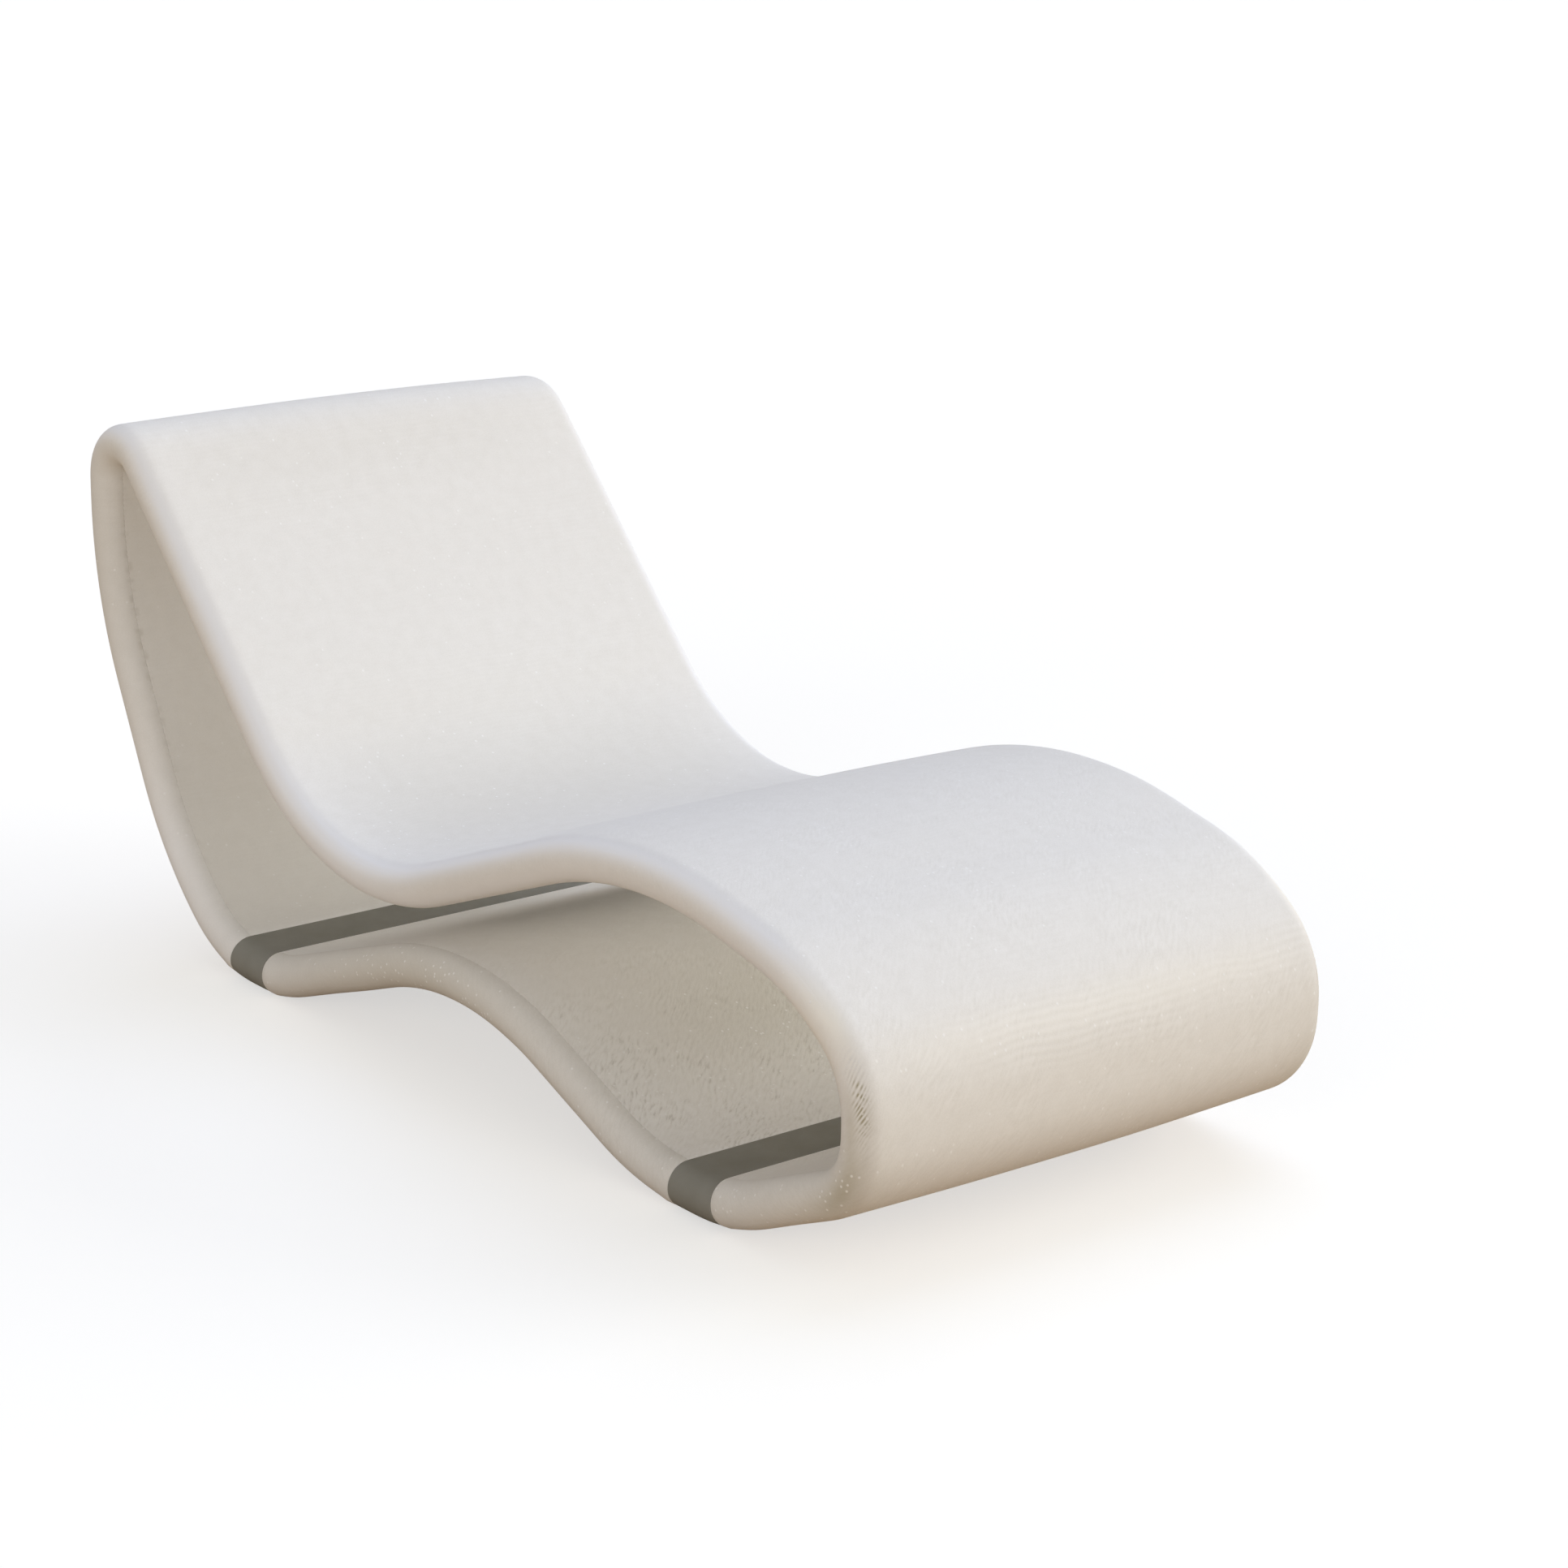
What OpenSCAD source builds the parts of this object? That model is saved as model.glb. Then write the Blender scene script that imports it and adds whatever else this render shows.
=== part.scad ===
// Spa relaxation lounger: one padded band bent into a closed loop.
// Two bent steel hoops, joined by cross rails, carry elastic slings, foam and a sewn fabric cover.
// Two rubber grip bands go round the band where it stands on the floor.
// The band is described in its own section: u runs out of the loop, v across the width, both from the
// centre line. X runs from the head to the foot, Y across, Z up, and the floor is at Z = 0.

/* [Overall size] */
// Length from the back of the head fold to the front of the foot end
length = 1900; // [1800:10:2050]
// Width across the band
width = 800; // [650:10:900]
// Height of the head fold above the floor
height = 800; // [760:5:850]
// Thickness of the band at its round edges
band_t = 63; // [60:1:68]
// Rise of the padding in the middle of the width
crown = 5; // [2:0.5:8]

/* [Bends] */
// Bend radius of the head fold, at the centre line
head_r = 56; // [48:1:58]
// Distance between the two turns of the head fold
head_fold = 87; // [84:1:120]
// Bend radius at the top of the back wall
wall_r = 610; // [400:10:700]
// Bend radius at the foot of the back wall
kick_r = 540; // [400:10:560]
// Bend radius on each side of the rear floor contact
heel_r = 220; // [150:5:230]
// Bend radius of the arch between the floor contacts
arch_r = 560; // [450:10:650]
// Bend radius behind the front floor contact
ball_rear_r = 410; // [250:10:450]
// Bend radius ahead of the front floor contact
ball_front_r = 280; // [200:10:320]
// Bend radius low on the foot end
nose_low_r = 100; // [70:1:110]
// Bend radius high on the foot end
nose_high_r = 130; // [100:1:140]
// Bend radius under the calves
calf_r = 340; // [250:10:380]
// Bend radius under the knees
knee_r = 700; // [550:10:760]
// Bend radius of the hollow of the seat
lap_r = 410; // [330:10:450]
// Straight stretch on the floor at each contact, before its bends
floor_flat = 40; // [30:1:50]

/* [Frame] */
// Outer diameter of the hoop tube
tube_d = 25; // [20:1:28]
// Wall of the hoop tube
tube_wall = 2; // [1:0.5:3]
// Outer diameter of the cross rails
rail_d = 22; // [18:1:25]
// Wall of the cross rails
rail_wall = 1.5; // [1:0.5:2.5]
// Length of the spigot inside each hoop joint
spigot_len = 110; // [60:5:140]
// Wall of the spigots
spigot_wall = 2; // [1.5:0.5:4]

/* [Padding and cover] */
// Thickness of the elastic sling
sling_t = 1.5; // [1:0.5:2.5]
// Thickness of the cover fabric
cover_t = 2; // [1.5:0.5:3]
// Width of the cover turned over onto the inner face, past the round edge and up to the seam
turnover = 2; // [1:1:40]
// Open seam between the cover and the lining
seam_gap = 1; // [0.5:0.5:2]

/* [Grip bands] */
// Width of each rubber grip band along the loop
grip_w = 90; // [60:1:110]
// How far the middle of the front grip band lies ahead of its floor contact
front_grip_out = 20; // [0:1:30]
// How far the middle of the rear grip band lies behind its floor contact
rear_grip_out = 14; // [0:1:30]

/* [Hidden] */
// Free space between neighbouring layers
layer_gap = 0.3;
// Gap left for the weld where a rail meets a hoop
weld_gap = 0.2;
// Extra length of cuts that run past a face
overrun = 5;
// Largest distance of a flat facet from its bend, on the outer face
facet_sag = 3.3;
// Step of the facets round the tubes and the slings that hook on them
tube_step = 30;
// Step of the facets round the padded edges
edge_step = 45;
// Number of steps round a cross rail
round_steps = 48;
// Stations nearer to each other than this are one
station_gap = 23;
// Shortest straight line between two bends
least_run = 5;
// Largest part of the circle through the floor and the next corner that a bend there takes
circle_share = 0.9;

// Layers of the band, as distances from the centre line
tube_r = tube_d / 2;
skin_r = band_t / 2;
cover_in_r = skin_r - cover_t;
foam_out_r = cover_in_r - layer_gap;
sling_in_r = tube_r + layer_gap;
sling_out_r = sling_in_r + sling_t;
foam_in_r = sling_out_r / cos(edge_step / 2) + layer_gap;
bore_r = tube_r - tube_wall;
spigot_r = bore_r - layer_gap;
// Half the distance between the hoops, which are also the centres of the round edges
edge_v = width / 2 - skin_r;

// Lines that the centre line touches on the floor, at the top, at the front and at the back
floor_z = skin_r;
top_z = height - skin_r - crown;
front_x = length / 2 - skin_r - crown;
back_x = -front_x;

// The centre line is a chain of straight lines between corners, and each corner is bent to its radius.
// It is followed from the arch forwards, round the foot end, over the seat and back, and down the wall.
function along(x_share) = x_share * length;
function up(z_share) = z_share * height;
arch_corner = [along(0.031), up(0.25)];
nose_low_corner = [front_x, up(0.177)];
kick_corner = [along(-0.386), up(0.205)];
heel_mid_x = along(-0.252);
ball_mid_x = along(0.306);
// A bend that leaves the floor starts at the end of the straight stretch there, on the given side of the
// contact, and its far line goes through the next corner. Its radius is limited by that corner, which
// stays outside the bend's circle.
function floor_bend(name, mid_x, side, wanted_r, far) =
  let (start_x = mid_x + side * floor_flat / 2,
    gap = [side * (far[0] - start_x), far[1] - floor_z],
    r = min(wanted_r, circle_share * (gap * gap) / (2 * gap[1])),
    rise = atan2(gap[1] - r, gap[0]) + asin(r / norm(gap - [0, r])))
  [name, [far[0] - side * gap[1] / tan(rise), floor_z], r];
// Each bend as [name, corner, radius]
bend_table = [
  ["arch", arch_corner, arch_r],
  floor_bend("ball_rear", ball_mid_x, -1, ball_rear_r, arch_corner),
  floor_bend("ball_front", ball_mid_x, 1, ball_front_r, nose_low_corner),
  ["nose_low", nose_low_corner, nose_low_r],
  ["nose_high", [front_x, up(0.371)], nose_high_r],
  ["calf", [along(0.415), up(0.481)], calf_r],
  ["knee", [along(0.233), up(0.578)], knee_r],
  ["lap", [along(-0.1426), up(0.234)], lap_r],
  ["head_front", [back_x + head_fold, top_z], head_r],
  ["head_back", [back_x, top_z], head_r],
  ["wall", [back_x, up(0.664)], wall_r],
  ["kick", kick_corner, kick_r],
  floor_bend("heel_rear", heel_mid_x, -1, heel_r, kick_corner),
  floor_bend("heel_front", heel_mid_x, 1, heel_r, arch_corner)];
corners = [for (b = bend_table) b[1]];
bends = len(corners);
function next(i) = (i + 1) % bends;
function before(i) = (i + bends - 1) % bends;
function dir(angle) = [cos(angle), sin(angle)];
function slope(a, b) = atan2(b[1] - a[1], b[0] - a[0]);
heading = [for (i = [0:bends - 1]) slope(corners[i], corners[next(i)])];
// Signed turn of bend i: positive to the left, which bends the band round the inside of the loop
turn = [for (i = [0:bends - 1])
  let (t = heading[i] - heading[before(i)]) t > 180 ? t - 360 : t < -180 ? t + 360 : t];
line_len = [for (i = [0:bends - 1]) norm(corners[next(i)] - corners[i])];
// How far a bend of radius r at corner i reaches along its two lines
function reach(i, r) = r * tan(abs(turn[i]) / 2);
// Share of their radius that the two bends on the line after corner i can have
room = [for (i = [0:bends - 1]) min(1,
  (line_len[i] - least_run) / (reach(i, bend_table[i][2]) + reach(next(i), bend_table[next(i)][2])))];
bend_r = [for (i = [0:bends - 1]) bend_table[i][2] * min(room[before(i)], room[i])];
arc_len = [for (i = [0:bends - 1]) bend_r[i] * abs(turn[i]) * PI / 180];
run_len = [for (i = [0:bends - 1])
  line_len[i] - reach(i, bend_r[i]) - reach(next(i), bend_r[next(i)])];
// Path distance from the start of the arch bend to the start of each bend, with the whole loop at the end
bend_at = [for (i = 0, s = 0; i <= bends; s = s + (i < bends ? arc_len[i] + run_len[i] : 0), i = i + 1) s];
loop_len = bend_at[bends];
function bend(name) = search([name], bend_table)[0];
function bend_start(name) = bend_at[bend(name)];
function bend_end(name) = bend_start(name) + arc_len[bend(name)];
function run_point(name, share) = bend_end(name) + share * run_len[bend(name)];

// Where the centre line is at path distance s, as [x, z, heading]
function bend_of(s) = max([for (i = [0:bends - 1]) if (bend_at[i] <= s) i]);
function on_bend(i, way_in) =
  let (way = sign(turn[i]),
    start_heading = heading[before(i)],
    angle = start_heading + way * way_in / bend_r[i] * 180 / PI,
    start = corners[i] - reach(i, bend_r[i]) * dir(start_heading),
    centre = start + way * bend_r[i] * dir(start_heading + 90),
    point = centre - way * bend_r[i] * dir(angle + 90))
  [point[0], point[1], angle];
function on_run(i, way_in) =
  let (point = corners[i] + (reach(i, bend_r[i]) + way_in) * dir(heading[i]))
  [point[0], point[1], heading[i]];
function place(s) =
  let (t = (s + loop_len) % loop_len, i = bend_of(t), way_in = t - bend_at[i])
  way_in < arc_len[i] ? on_bend(i, way_in) : on_run(i, way_in - arc_len[i]);

// Path distances where pieces meet
rear_joint = run_point("heel_front", 0.5);
front_joint = run_point("arch", 0.5);
leg_from = bend_end("nose_high");
seat_from = run_point("knee", 0.5);
back_from = bend_end("lap");
head_from = bend_start("head_front");
wall_from = bend_end("head_back");
front_contact = run_point("ball_rear", 0.5);
rear_contact = run_point("heel_rear", 0.5);
function grip_span(middle) = [middle - grip_w / 2, middle + grip_w / 2];
front_grip = grip_span(front_contact + front_grip_out);
rear_grip = grip_span(rear_contact - rear_grip_out);
function spigot_span(joint) = [joint - spigot_len / 2, joint + spigot_len / 2];
cuts = concat([rear_joint, front_joint, seat_from], front_grip, rear_grip,
  spigot_span(front_joint), spigot_span(rear_joint));

// Stations along the loop: the ends of every bend, even steps inside it and every cut
function steps(i) = ceil(abs(turn[i]) / (2 * acos(1 - facet_sag / (bend_r[i] + skin_r))));
function sorted(v) = len(v) < 2 ? v :
  let (pivot = v[floor(len(v) / 2)])
  concat(sorted([for (x = v) if (x < pivot) x]), [pivot], sorted([for (x = v) if (x > pivot) x]));
function first_step(i) = run_len[before(i)] < station_gap ? 1 : 0;
bend_stations = [for (i = [0:bends - 1], k = [first_step(i):steps(i)])
  bend_at[i] + arc_len[i] * k / steps(i)];
function clear_of(s, others) = len([for (o = others) if (abs(o - s) < station_gap) o]) == 0;
all_stations = sorted(concat([for (s = bend_stations) if (clear_of(s, cuts)) s], cuts));
// Stations from path distance a on to b, and past the end of the loop where b is beyond it
function span(a, b) = concat([a],
  [for (round = [0, loop_len], s = all_stations)
    if (s + round > a + station_gap / 2 && s + round < b - station_gap / 2) s + round], [b]);

// The crown is full where the body lies and fades out towards the grip bands
function fade(x) = let (t = min(1, max(0, x))) t * t * (3 - 2 * t);
fade_len = 5 * band_t;
function crown_at(s) =
  let (t = (s + loop_len) % loop_len)
  crown * min(fade((t - front_grip[1]) / fade_len), fade((rear_grip[0] - t) / fade_len));

// Section outlines, as lists of [u, v] from the right edge to the left
function ring_point(r, angle, v) = [r * sin(angle), v + r * cos(angle)];
// Round edge at the right hoop, from an angle against the centre line up to the outer face
function edge_round(r, from_angle, step) =
  [for (a = [from_angle:step:90]) ring_point(r, a, edge_v)];
function mirrored(list) = [for (i = [len(list) - 1:-1:0]) [list[i][0], -list[i][1]]];
// Points across the face, raised in the middle of the width by the crown
function face_points(u, rise) =
  [for (share = [0.5, 0, -0.5]) [u + rise * (1 - share * share), share * edge_v]];
function pad_outline(r, rise) =
  let (right = edge_round(r, 0, edge_step)) concat(right, face_points(r, rise), mirrored(right));
function liner_outline(r) =
  let (right = edge_round(r, 0, edge_step)) concat(right, mirrored(right));
function sling_outline(r) =
  let (right = edge_round(r, -2 * tube_step, tube_step)) concat(right, mirrored(right));
function cover_outline(r, rise) =
  let (right = concat([[-r, edge_v - turnover]], edge_round(r, -90, edge_step)))
  concat(right, face_points(r, rise), mirrored(right));
function lining_outline(r) =
  let (v = edge_v - turnover - seam_gap) [[r, v], [r, -v]];
function grip_outline(r) =
  let (right = edge_round(r, -90, edge_step)) concat(right, mirrored(right));
function circle_outline(r, v) =
  [for (a = [0:tube_step:360 - tube_step]) ring_point(r, a, v)];
// The same outline turned to the inner side of the band
function inward(list) = [for (i = [len(list) - 1:-1:0]) [-list[i][0], list[i][1]]];

// Point of the section at a place of the centre line
function at(p, q) = [p[0] + q[0] * sin(p[2]), q[1], p[1] - q[0] * cos(p[2])];
function quad(a, b, c, d) = [[a, b, c], [a, c, d]];

// A wall between two outlines, swept through stations: rings holds [outer outline, inner outline] for
// each station. An open wall also has its two long edges closed.
module swept_wall(rings, closed = false) {
  m = len(rings[0][0]);
  last = len(rings) - 1;
  wraps = closed ? m - 1 : m - 2;
  function o(i, j) = 2 * m * i + j % m;
  function n(i, j) = 2 * m * i + m + j % m;
  polyhedron(points = [for (r = rings) each concat(r[0], r[1])],
    faces = concat(
      [for (i = [0:last - 1], j = [0:wraps]) each
        quad(o(i, j), o(i, j + 1), o(i + 1, j + 1), o(i + 1, j))],
      [for (i = [0:last - 1], j = [0:wraps]) each
        quad(n(i, j), n(i + 1, j), n(i + 1, j + 1), n(i, j + 1))],
      [for (j = [0:wraps]) each quad(o(0, j), n(0, j), n(0, j + 1), o(0, j + 1))],
      [for (j = [0:wraps]) each quad(o(last, j), o(last, j + 1), n(last, j + 1), n(last, j))],
      closed ? [] : [for (i = [0:last - 1]) each
        concat(quad(o(i, 0), o(i + 1, 0), n(i + 1, 0), n(i, 0)),
          quad(o(i, m - 1), n(i, m - 1), n(i + 1, m - 1), o(i + 1, m - 1)))]));
}
function placed(s, list) = [for (q = list) at(place(s), q)];

module pad(a, b) {
  color("ivory") swept_wall([for (s = span(a, b))
    [placed(s, pad_outline(foam_out_r, crown_at(s))), placed(s, pad_outline(foam_in_r, 0))]]);
}
module liner(a, b) {
  color("wheat") swept_wall([for (s = span(a, b))
    [placed(s, inward(liner_outline(foam_out_r))), placed(s, inward(liner_outline(foam_in_r)))]]);
}
module cover(a, b) {
  color("whitesmoke") swept_wall([for (s = span(a, b))
    [placed(s, cover_outline(skin_r, crown_at(s))), placed(s, cover_outline(cover_in_r, crown_at(s)))]]);
}
module lining(a, b) {
  color("linen") swept_wall([for (s = span(a, b))
    [placed(s, inward(lining_outline(skin_r))), placed(s, inward(lining_outline(cover_in_r)))]]);
}
module sling(a, b) {
  color("dimgray") swept_wall([for (s = span(a, b))
    [placed(s, sling_outline(sling_out_r)), placed(s, sling_outline(sling_in_r))]]);
}
module grip_band(stretch) {
  color("slategray") swept_wall([for (s = span(stretch[0], stretch[1]))
    [placed(s, grip_outline(skin_r)), placed(s, grip_outline(cover_in_r))]], closed = true);
}
// A round tube that follows one round edge of the loop
module edge_tube(side, a, b, r, wall) {
  swept_wall([for (s = span(a, b))
    [placed(s, circle_outline(r, side * edge_v)),
      placed(s, circle_outline(r - wall, side * edge_v))]], closed = true);
}
module hoop_tube(side, a, b) {
  color("silver") edge_tube(side, a, b, tube_r, tube_wall);
}
// The two spigots, left and right, inside the hoop joints
module spigots(joint) {
  color("gray") for (side = [-1, 1])
    edge_tube(side, spigot_span(joint)[0], spigot_span(joint)[1], spigot_r, spigot_wall);
}

// Moves children from their own axes to path distance s: their X runs along the path and their Z into
// the loop
module on_path(s) {
  p = place(s);
  translate([p[0], 0, p[1]]) rotate([0, -p[2], 0]) children();
}
// A rod across the width, on the centre line
module cross_rod(d, l) {
  rotate([90, 0, 0]) cylinder(d = d, h = l, center = true, $fn = round_steps);
}
// A cross rail between the hoops, its ends cut to the hoop tubes
module rail(s) {
  color("silver") on_path(s) difference() {
    cross_rod(rail_d, 2 * edge_v);
    cross_rod(rail_d - 2 * rail_wall, width);
    for (side = [-1, 1]) translate([0, side * edge_v, 0])
      rotate([0, 90, 0])
        cylinder(r = tube_r + weld_gap, h = tube_d + 2 * overrun, center = true, $fn = round_steps);
  }
}

hoop_tube(-1, front_joint, rear_joint);  // left_upper_tube
hoop_tube(1, front_joint, rear_joint);  // right_upper_tube
hoop_tube(-1, rear_joint, front_joint + loop_len);  // left_base_tube
hoop_tube(1, rear_joint, front_joint + loop_len);  // right_base_tube
spigots(front_joint);  // front_spigots
spigots(rear_joint);  // rear_spigots
rail(run_point("head_back", 0.5));  // head_rail
rail(run_point("lap", 0.6));  // back_rail
rail(run_point("lap", 0.1));  // lumbar_rail
rail(run_point("knee", 0.5));  // seat_rail
rail(run_point("calf", 0.5));  // knee_rail
rail(run_point("nose_low", 0.5));  // nose_rail
rail(front_contact);  // ball_rail
rail(bend_end("arch"));  // arch_front_rail
rail(bend_start("arch"));  // arch_rear_rail
rail(rear_contact);  // heel_rail
rail(run_point("wall", 0.5));  // wall_rail
sling(leg_from, head_from);  // seat_sling
sling(wall_from, bend_start("nose_low") + loop_len);  // base_sling
pad(head_from, wall_from);  // head_pad
pad(back_from, head_from);  // back_pad
pad(seat_from, back_from);  // seat_pad
pad(leg_from, seat_from);  // leg_pad
pad(front_joint, leg_from);  // foot_pad
pad(rear_joint, front_joint + loop_len);  // base_pad
pad(wall_from, rear_joint);  // wall_pad
liner(head_from, wall_from);  // head_liner
liner(back_from, head_from);  // back_liner
liner(seat_from, back_from);  // seat_liner
liner(leg_from, seat_from);  // leg_liner
liner(front_joint, leg_from);  // foot_liner
liner(rear_joint, front_joint + loop_len);  // base_liner
liner(wall_from, rear_joint);  // wall_liner
cover(front_grip[1], rear_grip[0]);  // main_cover
cover(rear_grip[1], front_grip[0] + loop_len);  // base_cover
lining(front_grip[1], rear_grip[0]);  // main_lining
lining(rear_grip[1], front_grip[0] + loop_len);  // base_lining
grip_band(front_grip);  // front_grip_band
grip_band(rear_grip);  // rear_grip_band
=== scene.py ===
import math

import bpy
import numpy as np
from mathutils import Matrix, Vector


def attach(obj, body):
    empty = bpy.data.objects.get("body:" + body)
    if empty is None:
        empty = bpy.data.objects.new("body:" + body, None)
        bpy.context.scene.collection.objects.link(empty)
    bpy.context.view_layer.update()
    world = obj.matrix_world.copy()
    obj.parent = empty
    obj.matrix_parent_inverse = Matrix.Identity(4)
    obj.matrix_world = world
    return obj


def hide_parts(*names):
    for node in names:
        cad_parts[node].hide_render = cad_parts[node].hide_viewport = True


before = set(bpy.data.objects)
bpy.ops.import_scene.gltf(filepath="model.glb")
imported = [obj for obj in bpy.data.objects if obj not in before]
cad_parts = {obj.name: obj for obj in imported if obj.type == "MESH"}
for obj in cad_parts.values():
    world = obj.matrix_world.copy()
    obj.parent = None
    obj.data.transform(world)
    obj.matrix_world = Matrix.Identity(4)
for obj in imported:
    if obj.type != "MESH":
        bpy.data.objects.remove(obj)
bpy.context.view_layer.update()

# ---- Sizes of the part's source, in metres ----
WIDTH = 0.8
SKIN = 0.0315  # from the centre line to the outside of the cover
EDGE_V = WIDTH / 2 - SKIN  # half the width between the two round edges
CLOTH = 0.002
SLACK = 0.0003  # space between two layers
COVER_IN = SKIN - CLOTH
FOAM_OUT = COVER_IN - SLACK
FOAM_IN = 0.01578
SLING_OUT, SLING_IN = 0.0143, 0.0128
TUBE_OUT, TUBE_IN = 0.0125, 0.0105
TURNOVER, SEAM_GAP = 0.002, 0.001
CROWN, FADE = 0.005, 0.315  # rise of the padding in mid-width, and the length over which it fades
GRIP = 0.09
FRONT_GRIP_OUT, REAR_GRIP_OUT = 0.02, 0.014  # how far a grip band lies off the middle of its contact

# Bends of the centre line: name, x and z of the corner, bend radius
BENDS = (
    ("arch", 0.0589, 0.2, 0.56),
    ("ball_rear", 0.482921, 0.0315, 0.41),
    ("ball_front", 0.659468, 0.0315, 0.28),
    ("nose_low", 0.9135, 0.1416, 0.1),
    ("nose_high", 0.9135, 0.2968, 0.13),
    ("calf", 0.7885, 0.3848, 0.34),
    ("knee", 0.4427, 0.4624, 0.7),
    ("lap", -0.27094, 0.1872, 0.41),
    ("head_front", -0.8265, 0.7635, 0.056),
    ("head_back", -0.9135, 0.7635, 0.056),
    ("wall", -0.9135, 0.5312, 0.61),
    ("kick", -0.7334, 0.164, 0.54),
    ("heel_rear", -0.581109, 0.0315, 0.22),
    ("heel_front", -0.421323, 0.0315, 0.22),
)
STEP = 0.001
EASE = 0.009  # spread of the easing where a bend meets a straight line


# ---- Centre line ----
class Loop:
    """The centre line of the band. Each corner is bent to an arc that touches both of its lines, with
    straight lines between the arcs, and the points are then averaged along the line with a bell curve, so
    that curvature changes gently. Distances along it are those of the part's source."""

    def __init__(self):
        corner = np.array([b[1:3] for b in BENDS])
        radius = np.array([b[3] for b in BENDS])
        line = np.roll(corner, -1, axis=0) - corner
        length = np.linalg.norm(line, axis=1)
        out = line / length[:, None]
        into = np.roll(out, 1, axis=0)
        turn = np.arctan2(into[:, 0] * out[:, 1] - into[:, 1] * out[:, 0], (into * out).sum(axis=1))
        reach = radius * np.tan(abs(turn) / 2)
        arc = radius * abs(turn)
        run = length - reach - np.roll(reach, -1)
        starts = np.concatenate([[0], np.cumsum(arc + run)])
        self.total = starts[-1]
        self.start = {b[0]: starts[i] for i, b in enumerate(BENDS)}
        self.end = {b[0]: starts[i] + arc[i] for i, b in enumerate(BENDS)}
        self.run = {b[0]: run[i] for i, b in enumerate(BENDS)}

        count = int(round(self.total / STEP))
        s = np.arange(count) * self.total / count
        i = np.searchsorted(starts, s, side="right") - 1
        way = s - starts[i]
        sign = np.sign(turn)[:, None]
        centre = corner - reach[:, None] * into + sign * radius[:, None] * across(into)
        angle = np.arctan2(into[i, 1], into[i, 0]) + np.sign(turn[i]) * way / radius[i]
        heading = np.stack([np.cos(angle), np.sin(angle)], axis=1)
        on_arc = centre[i] - sign[i] * radius[i, None] * across(heading)
        on_line = corner[i] + (reach[i] + way - arc[i])[:, None] * out[i]
        points = np.where((way < arc[i])[:, None], on_arc, on_line)

        ring = np.minimum(s, self.total - s)
        weight = np.exp(-0.5 * (ring / EASE) ** 2)
        smooth = np.fft.fft(weight / weight.sum())[:, None]
        self.points = np.real(np.fft.ifft(np.fft.fft(points, axis=0) * smooth, axis=0))
        ahead = np.roll(self.points, -1, axis=0) - np.roll(self.points, 1, axis=0)
        self.ahead = ahead / np.linalg.norm(ahead, axis=1)[:, None]
        self.s = s

    def read(self, table, s):
        """Values of a table of x and z at distances s, on straight lines between its rows."""
        return np.stack([np.interp(s, self.s, column, period=self.total) for column in table.T], axis=1)

    def at(self, s):
        """Points of the centre line and directions along it at distances s."""
        ahead = self.read(self.ahead, s)
        return self.read(self.points, s), ahead / np.linalg.norm(ahead, axis=1)[:, None]

    def middle(self, name):
        """Distance of the middle of the straight line after a bend."""
        return self.end[name] + 0.5 * self.run[name]


def across(d):
    """Directions turned a quarter to the left."""
    return np.stack([-d[:, 1], d[:, 0]], axis=1)


loop = Loop()
FRONT_JOINT, REAR_JOINT = loop.middle("arch"), loop.middle("heel_front")
LEG_FROM, SEAT_FROM = loop.end["nose_high"], loop.middle("knee")
BACK_FROM, HEAD_FROM = loop.end["lap"], loop.start["head_front"]
WALL_FROM = loop.end["head_back"]
FRONT_GRIP = loop.middle("ball_rear") + FRONT_GRIP_OUT + np.array([-GRIP / 2, GRIP / 2])
REAR_GRIP = loop.middle("heel_rear") - REAR_GRIP_OUT + np.array([-GRIP / 2, GRIP / 2])
MAIN = (FRONT_GRIP[1], REAR_GRIP[0])  # stretch of the main cover: the body and the wall
UNDER = (REAR_GRIP[1], FRONT_GRIP[0] + loop.total)  # stretch of the base cover


def carried(s, u, v):
    """Points of a section carried along the loop: the centre line at s, plus u along the outward normal,
    plus v across the width. u and v hold one row for each distance s."""
    centre, ahead = loop.at(s)
    u, v = np.broadcast_arrays(u, v)
    x = centre[:, :1] + u * ahead[:, 1:]
    z = centre[:, 1:] - u * ahead[:, :1]
    return np.stack([x, np.broadcast_to(v, x.shape), z], axis=2)


def ease(x):
    """Smooth step from 0 to 1: 3 t^2 - 2 t^3, with t = x held between 0 and 1."""
    t = np.clip(x, 0, 1)
    return t * t * (3 - 2 * t)


def bell(x, middle, spread):
    """Bell curve of height 1: exp(-((x - middle) / spread)^2)."""
    return np.exp(-((x - middle) / spread) ** 2)


def stretch(s, start, rise, stop, fall):
    """1 on a stretch of the loop and 0 off it: a smooth step up over rise from start, times one down over
    fall from stop."""
    return ease((s - start) / rise) * (1 - ease((s - stop) / fall))


def waves(table, along, aside):
    """Sum of slanted sine waves, height sin(k along + m aside + start), one for each row of the table."""
    return sum(height * np.sin(k * along + m * aside + start) for height, k, m, start in table)


def crown_at(s):
    """Rise of the padding in mid-width: full where the body lies, none at the grip bands."""
    t = np.mod(s, loop.total)
    return CROWN * np.minimum(ease((t - FRONT_GRIP[1]) / FADE), ease((REAR_GRIP[0] - t) / FADE))


TUCK_STEPS = np.array([0.0003, 0.0007, 0.0013, 0.002, 0.003])  # close stations at a rounded end
TUCK_CLEAR = 0.0045  # even stations keep this far from a rounded end


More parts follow.
